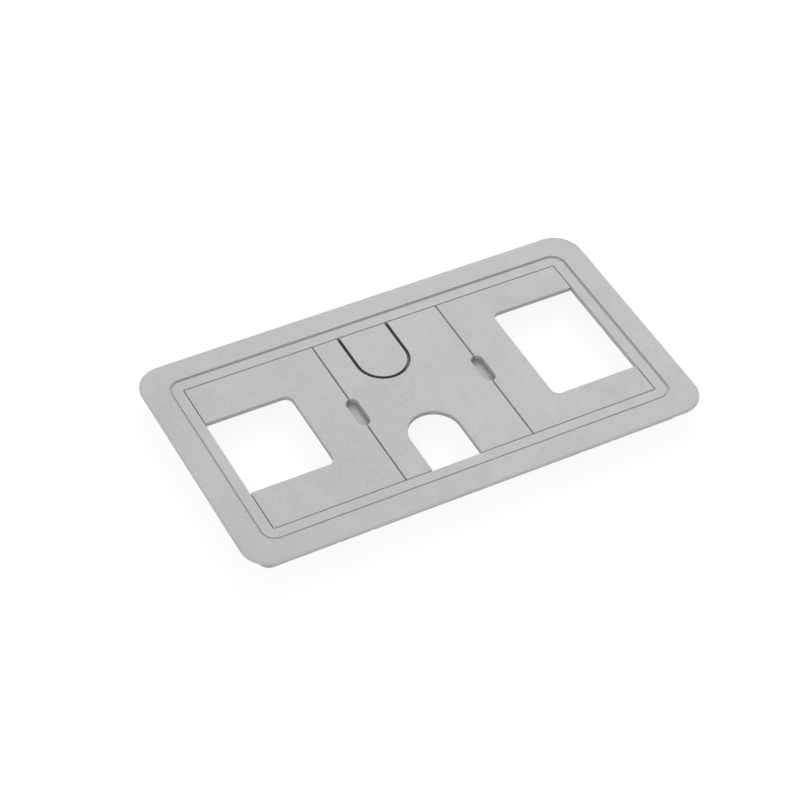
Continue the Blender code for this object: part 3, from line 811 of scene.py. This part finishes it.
def notch_tool(name, size, lids, arm, bridge, grown, end_x, low, high):
    """A tool for the left notch, grown by some distance, that is open to the left."""
    inner = -seam_x(size, lids) - lids.seam / 2 - bridge + grown
    half = opening_half(size)[1] - arm + grown
    return round_block(
        name,
        (end_x, -half, low),
        (inner, half, high),
        lids.notch_corner + grown,
        NOTCH_STEPS,
        lambda x, y: x > (end_x + inner) / 2,
    )


def rib_levels(lids, depth):
    under = lids.top - lids.thickness
    return under - depth, under + REACH


def soften_foot(rib, lids, low):
    """Round the foot of a rib."""
    return round_edges(rib, lids.edge, EDGE_STEPS, lambda edge: lies_at(edge, "z", low))


def straight_rib(lids, x_low, x_high, y_low, y_high, depth):
    low, high = rib_levels(lids, depth)
    return soften_foot(block("rib", (x_low, y_low, low), (x_high, y_high, high)), lids, low)


def clip_hook(size, lids, x, side_y):
    """A hook that passes the edge of a ledge and catches under it."""
    half_y = opening_half(size)[1]
    outer = half_y - size.ledge_reach - lids.hook_gap
    inner = outer - lids.hook_thickness
    barb_top = size.ledge_top - size.ledge_thickness - lids.hook_gap
    low = barb_top - lids.hook_barb_height
    high = lids.top - lids.thickness + REACH
    ys = sorted((side_y * inner, side_y * outer))
    half = lids.hook_width / 2
    hook = block("clip_hook", (x - half, ys[0], low), (x + half, ys[1], high))
    start_edit(hook)
    cut_across((0.0, 0.0, barb_top), UP)
    barb = faces((0.0, side_y, 0.0), lambda centre: centre.z < barb_top)
    extrude_faces(barb, (0.0, side_y * lids.hook_barb, 0.0))

    def toe(edge):
        place = middle(edge)
        return place.z < low + SAME and side_y * place.y > outer + lids.hook_barb - SAME

    pick("EDGE", toe)
    bpy.ops.transform.translate(value=(0.0, -side_y * lids.hook_barb, 0.0))
    bpy.ops.mesh.select_all(action="SELECT")
    bpy.ops.mesh.remove_doubles(threshold=SAME)
    end_edit()

    def barb_edge(edge):
        return abs(span(edge).x) > half and middle(edge).z < barb_top + SAME

    return round_edges(hook, lids.edge / 2, HIDDEN_STEPS, barb_edge)


def pin_mark(lids, x, y):
    """The shallow round mark of an ejector pin in a lid's underside."""
    deselect_all()
    floor = lids.top - lids.thickness + lids.pin_mark_depth
    bpy.ops.mesh.primitive_cylinder_add(
        vertices=PIN_MARK_SIDES,
        radius=lids.pin_mark / 2,
        depth=2 * REACH,
        location=(x, y, floor - REACH),
    )
    mark = bpy.context.object
    bpy.ops.object.transform_apply(location=True, rotation=True, scale=True)
    return mark


def add_underside(plate, size, lids, ribs, hook_places, mark_places):
    for rib in ribs:
        fuse(plate, rib)
    for x in hook_places:
        for side_y in (-1, 1):
            fuse(plate, clip_hook(size, lids, x, side_y))
    for x, y in mark_places:
        carve(plate, pin_mark(lids, x, y))


def seam_rib(size, lids):
    """How far the near and the far side of the rib beside a seam lie from the middle lid's middle."""
    far = seam_x(size, lids) - size.bar_width / 2 - lids.rib_clearance
    return far - lids.rib_thickness, far


def rib_end(size, lids):
    """How far from the middle a rib may reach before it meets the hooks."""
    edge = opening_half(size)[1] - size.ledge_reach - lids.hook_gap
    return edge - lids.hook_thickness - lids.rib_clearance


def side_lid(name, size, lids, arm, bridge):
    """An outer lid, modelled in the left one's place: its notch opens to the left."""
    half_x, half_y = opening_half(size)
    seam = seam_x(size, lids)
    outer = -half_x + lids.clearance
    inner = -seam - lids.seam / 2
    low = lids.top - lids.thickness - 2 * lids.rib_depth
    high = lids.top + REACH
    plate = lid_plate(name, size, lids, outer, inner)
    carve(plate, notch_tool("notch", size, lids, arm, bridge, 0.0, -size.length / 2, low, high))
    tip = half_y - arm

    def arm_tip(edge):
        place = middle(edge)
        return upright(edge) and abs(place.x - outer) < SAME and abs(abs(place.y) - tip) < SAME

    round_edges(plate, lids.corner, FINE_STEPS, arm_tip)
    carve(plate, slot_tool("pry_slot", lids.slot_length, lids.slot_width, -seam, low, high))
    round_rims(plate, lids)

    rib_low, rib_high = rib_levels(lids, lids.rib_depth)
    rib_start = -half_x + size.ledge_reach + lids.rib_clearance
    far = lids.rib_setback + lids.rib_thickness
    notch_rib = notch_tool("rib", size, lids, arm, bridge, far, rib_start, rib_low, rib_high)
    setback = lids.rib_setback
    hollow_low = rib_low - REACH
    hollow_high = rib_high + REACH
    hollow = notch_tool(
        "hollow", size, lids, arm, bridge, setback, rib_start - REACH, hollow_low, hollow_high
    )
    carve(notch_rib, hollow)
    soften_foot(notch_rib, lids, rib_low)
    beyond = -seam - size.bar_width / 2 - lids.rib_clearance
    near = beyond - lids.rib_thickness
    end_y = rib_end(size, lids)
    ribs = [notch_rib, straight_rib(lids, near, beyond, -end_y, end_y, lids.rib_depth)]
    cross_start = inner - bridge + far - REACH
    for row in (-1, 0, 1):
        low_y = row * lids.rib_spacing - lids.rib_thickness / 2
        high_y = low_y + lids.rib_thickness
        ribs.append(straight_rib(lids, cross_start, near + REACH, low_y, high_y, lids.low_rib_depth))
    hooks = (outer + lids.side_hook_margin, inner - lids.side_hook_margin)
    mark_xs = (outer + lids.side_mark_margin, inner - bridge - lids.side_mark_margin)
    mark_y = half_y - arm / 2
    marks = [(x, y) for x in mark_xs for y in (-mark_y, mark_y)]
    add_underside(plate, size, lids, ribs, hooks, marks)
    return plate


class MESH_OT_grommet_side_lids(Operator):
    """Model the two outer lids with their notches, ribs and clip hooks"""

    bl_idname = "mesh.grommet_side_lids"
    bl_label = "Outer lids"
    bl_options = {"REGISTER", "UNDO"}

    def execute(self, context):
        size = context.scene.grommet_frame
        lids = context.scene.grommet_lids
        finish = context.scene.grommet_finish
        plastic = moulded_abs(
            "moulded ABS, outer lids", finish.lid_colour, finish.lid_roughness, finish.lid_grain
        )
        left = side_lid("left_lid_part", size, lids, lids.left_arm, lids.left_bridge)
        right = side_lid("right_lid_part", size, lids, lids.right_arm, lids.right_bridge)
        start_edit(right)
        bpy.ops.mesh.select_all(action="SELECT")
        bpy.ops.transform.resize(value=(-1.0, 1.0, 1.0), center_override=(0.0, 0.0, 0.0))
        bpy.ops.mesh.normals_make_consistent(inside=False)
        end_edit()
        finish_piece(left, "grommet_left_lid", [plastic], "left_lid")
        finish_piece(right, "grommet_right_lid", [plastic], "right_lid")
        return {"FINISHED"}


def breakout_band(size, lids, side_y, near, far, low, high):
    """A U-shaped band between two distances from the edge of a break-out."""
    band = breakout_tool("band", size, lids, side_y, far, low, high)
    return carve(band, breakout_tool("band_hollow", size, lids, side_y, near, low - REACH, high + REACH))


def centre_lid(name, size, lids):
    """The middle lid, with the open U at its front edge and the closed break-out at its back edge."""
    half_x = lid_length(size, lids) / 2
    half_y = opening_half(size)[1] - lids.clearance
    under = lids.top - lids.thickness
    low = under - 2 * lids.rib_depth
    high = lids.top + REACH
    plate = lid_plate(name, size, lids, -half_x, half_x)
    carve(plate, breakout_tool("open_u", size, lids, -1, 0.0, low, high))
    sides = breakout_x(size, lids)

    def mouth(edge):
        place = middle(edge)
        at_side = min(abs(place.x - side) for side in sides) < SAME
        return upright(edge) and at_side and abs(place.y + half_y) < SAME

    round_edges(plate, lids.corner, FINE_STEPS, mouth)
    for side in (-1, 1):
        x = side * seam_x(size, lids)
        carve(plate, slot_tool("pry_slot", lids.slot_length, lids.slot_width, x, low, high))
    round_rims(plate, lids)
    half_groove = lids.groove / 2
    carve(plate, breakout_band(size, lids, 1, -half_groove, half_groove, under + lids.web, high))

    near, far = seam_rib(size, lids)
    end_y = rib_end(size, lids)
    rib_low, rib_high = rib_levels(lids, lids.rib_depth)
    ribs = []
    for side_y in (-1, 1):
        reach = lids.rib_setback + lids.rib_thickness
        band = breakout_band(size, lids, side_y, lids.rib_setback, reach, rib_low, rib_high)
        past = sorted((side_y * end_y, side_y * size.width))
        carve(band, block("trim", (-size.width, past[0], low), (size.width, past[1], high)))
        ribs.append(soften_foot(band, lids, rib_low))
    side_end = end_y - lids.rib_thickness
    for xs in ((-far, -near), (near, far)):
        ribs.append(straight_rib(lids, *xs, -side_end, side_end, lids.low_rib_depth))
    half_rib = lids.rib_thickness / 2
    ribs.append(straight_rib(lids, -near - REACH, near + REACH, -half_rib, half_rib, lids.rib_depth))
    hook_x = half_x - lids.centre_hook_margin
    mark_x = near - lids.centre_mark_margin
    mark_y = lids.centre_mark_row
    marks = [(x, y) for x in (-mark_x, mark_x) for y in (-mark_y, mark_y)]
    add_underside(plate, size, lids, ribs, (-hook_x, hook_x), marks)
    return plate


class MESH_OT_grommet_centre_lid(Operator):
    """Model the middle lid with its open U and the break-out that is still closed"""

    bl_idname = "mesh.grommet_centre_lid"
    bl_label = "Middle lid"
    bl_options = {"REGISTER", "UNDO"}

    def execute(self, context):
        size = context.scene.grommet_frame
        lids = context.scene.grommet_lids
        finish = context.scene.grommet_finish
        plate = centre_lid("centre_lid_part", size, lids)
        plastic = moulded_abs(
            "moulded ABS, middle lid", finish.lid_colour, finish.lid_roughness, finish.lid_grain
        )
        # Painted shade for the break-out's groove: the lid's plastic with a darker base colour in place of
        # the groove's shade
        dark = moulded_abs(
            "painted shade, break-out groove", finish.groove_shade_colour, finish.groove_roughness, finish.lid_grain
        )
        finish_piece(plate, "grommet_centre_lid", [plastic, dark], "centre_lid")
        # Painted shade: the groove's floor and walls get a darker colour that stands in for the shade of the
        # narrow, deep groove, not a darker plastic.
        groove_floor = lids.top - lids.thickness + lids.web
        for face in plate.data.polygons:
            lowest = min(plate.data.vertices[corner].co.z for corner in face.vertices)
            face.material_index = 1 if abs(lowest - groove_floor) < SAME else 0
        return {"FINISHED"}


# Studio


class SCENE_OT_grommet_studio(Operator):
    """Set up the floor, the soft light and the camera"""

    bl_idname = "scene.grommet_studio"
    bl_label = "Studio"
    bl_options = {"REGISTER", "UNDO"}

    def execute(self, context):
        studio = context.scene.grommet_studio
        deselect_all()
        bpy.ops.mesh.primitive_plane_add(size=studio.floor_size, location=(0.0, 0.0, -FLOOR_GAP))
        floor = context.object
        floor.name = "studio_floor"
        floor.data.materials.append(floor_paint(glow=0.9, paint=0.14))
        add_softbox("key_softbox", studio.key_power, studio.key_size, studio.key_place)
        add_softbox("fill_softbox", studio.fill_power, studio.fill_size, studio.fill_place)
        light_room(context.scene, studio.room_light)
        bpy.ops.object.camera_add(location=studio.camera_place, rotation=studio.camera_turn)
        camera = context.object
        camera.name = "studio_camera"
        camera.data.sensor_width = 36.0
        camera.data.lens = studio.lens
        camera.data.clip_start = 0.01
        context.scene.camera = camera
        context.scene.view_settings.view_transform = "Standard"
        return {"FINISHED"}


def grey(value):
    return (value, value, value, 1.0)


def seen_directly(tree):
    """1 for what the camera, a mirror or a clear piece sees of a surface, and 0 for other light."""
    path = add_node(tree, "ShaderNodeLightPath", {}, {})
    seen = path.outputs["Is Camera Ray"]
    for kind in ("Is Glossy Ray", "Is Transmission Ray"):
        either = {0: seen, 1: path.outputs[kind]}
        seen = add_node(tree, "ShaderNodeMath", {"operation": "MAXIMUM"}, either).outputs[0]
    return seen


def floor_paint(glow, paint):
    """Matt white studio paint that the camera sees as plain white, with the soft shadow kept.

    Seen directly, it is a glow and a little paint, whose light the shadow takes away. All other
    light meets ordinary white paint.
    """
    material = bpy.data.materials.new("matt white paint, floor")
    material.use_nodes = True
    tree = material.node_tree
    tree.nodes.clear()
    lit = add_node(tree, "ShaderNodeBsdfDiffuse", {"Color": grey(0.95)}, {})
    faint = add_node(tree, "ShaderNodeBsdfDiffuse", {"Color": grey(paint)}, {})
    glowing = add_node(tree, "ShaderNodeEmission", {"Color": grey(1.0), "Strength": glow}, {})
    seen = add_node(tree, "ShaderNodeAddShader", {}, {0: faint.outputs[0], 1: glowing.outputs[0]})
    choice = {0: seen_directly(tree), 1: lit.outputs[0], 2: seen.outputs[0]}
    mixed = add_node(tree, "ShaderNodeMixShader", {}, choice)
    add_node(tree, "ShaderNodeOutputMaterial", {}, {"Surface": mixed.outputs[0]})
    return material


def light_room(scene, strength):
    """Even light from all round, with a white background behind everything."""
    world = bpy.data.worlds.new("studio_room")
    scene.world = world
    world.use_nodes = True
    tree = world.node_tree
    tree.nodes.clear()
    light = add_node(tree, "ShaderNodeBackground", {"Color": grey(1.0), "Strength": strength}, {})
    backdrop = add_node(tree, "ShaderNodeBackground", {"Color": grey(1.0), "Strength": 1.0}, {})
    choice = {0: seen_directly(tree), 1: light.outputs[0], 2: backdrop.outputs[0]}
    mixed = add_node(tree, "ShaderNodeMixShader", {}, choice)
    add_node(tree, "ShaderNodeOutputWorld", {}, {"Surface": mixed.outputs[0]})


def add_softbox(name, power, size, place):
    """A square lamp that looks at the grommet."""
    turn = Vector(place).to_track_quat("Z", "Y").to_euler()
    bpy.ops.object.light_add(type="AREA", location=place, rotation=turn)
    lamp = bpy.context.object
    lamp.name = name
    lamp.data.shape = "SQUARE"
    lamp.data.size = size
    lamp.data.energy = power


class VIEW3D_PT_grommet(Panel):
    """Sizes, colours and steps of the desk cable grommet"""

    bl_label = "Desk cable grommet"
    bl_space_type = "VIEW_3D"
    bl_region_type = "UI"
    bl_category = "Grommet"

    def draw(self, context):
        layout = self.layout
        for step in OPERATORS:
            layout.operator(step.bl_idname)
        for name in GROUPS:
            group = getattr(context.scene, name)
            box = layout.box()
            for setting in group.bl_rna.properties.keys():
                if setting not in ("rna_type", "name"):
                    box.prop(group, setting)


OPERATORS = (
    MESH_OT_grommet_frame,
    MESH_OT_grommet_side_lids,
    MESH_OT_grommet_centre_lid,
    SCENE_OT_grommet_studio,
)
GROUPS = {
    "grommet_frame": GrommetFrameSizes,
    "grommet_lids": GrommetLidSizes,
    "grommet_finish": GrommetFinish,
    "grommet_studio": GrommetStudio,
}


def register():
    for group in (*GROUPS.values(), *OPERATORS, VIEW3D_PT_grommet):
        bpy.utils.register_class(group)
    for name, group in GROUPS.items():
        setattr(bpy.types.Scene, name, PointerProperty(type=group))


def unregister():
    for name in GROUPS:
        delattr(bpy.types.Scene, name)
    for group in (VIEW3D_PT_grommet, *reversed(OPERATORS), *reversed(list(GROUPS.values()))):
        bpy.utils.unregister_class(group)


def main():
    register()
    bpy.ops.mesh.grommet_frame()
    bpy.ops.mesh.grommet_side_lids()
    bpy.ops.mesh.grommet_centre_lid()
    bpy.ops.scene.grommet_studio()


if __name__ == "__main__":
    main()
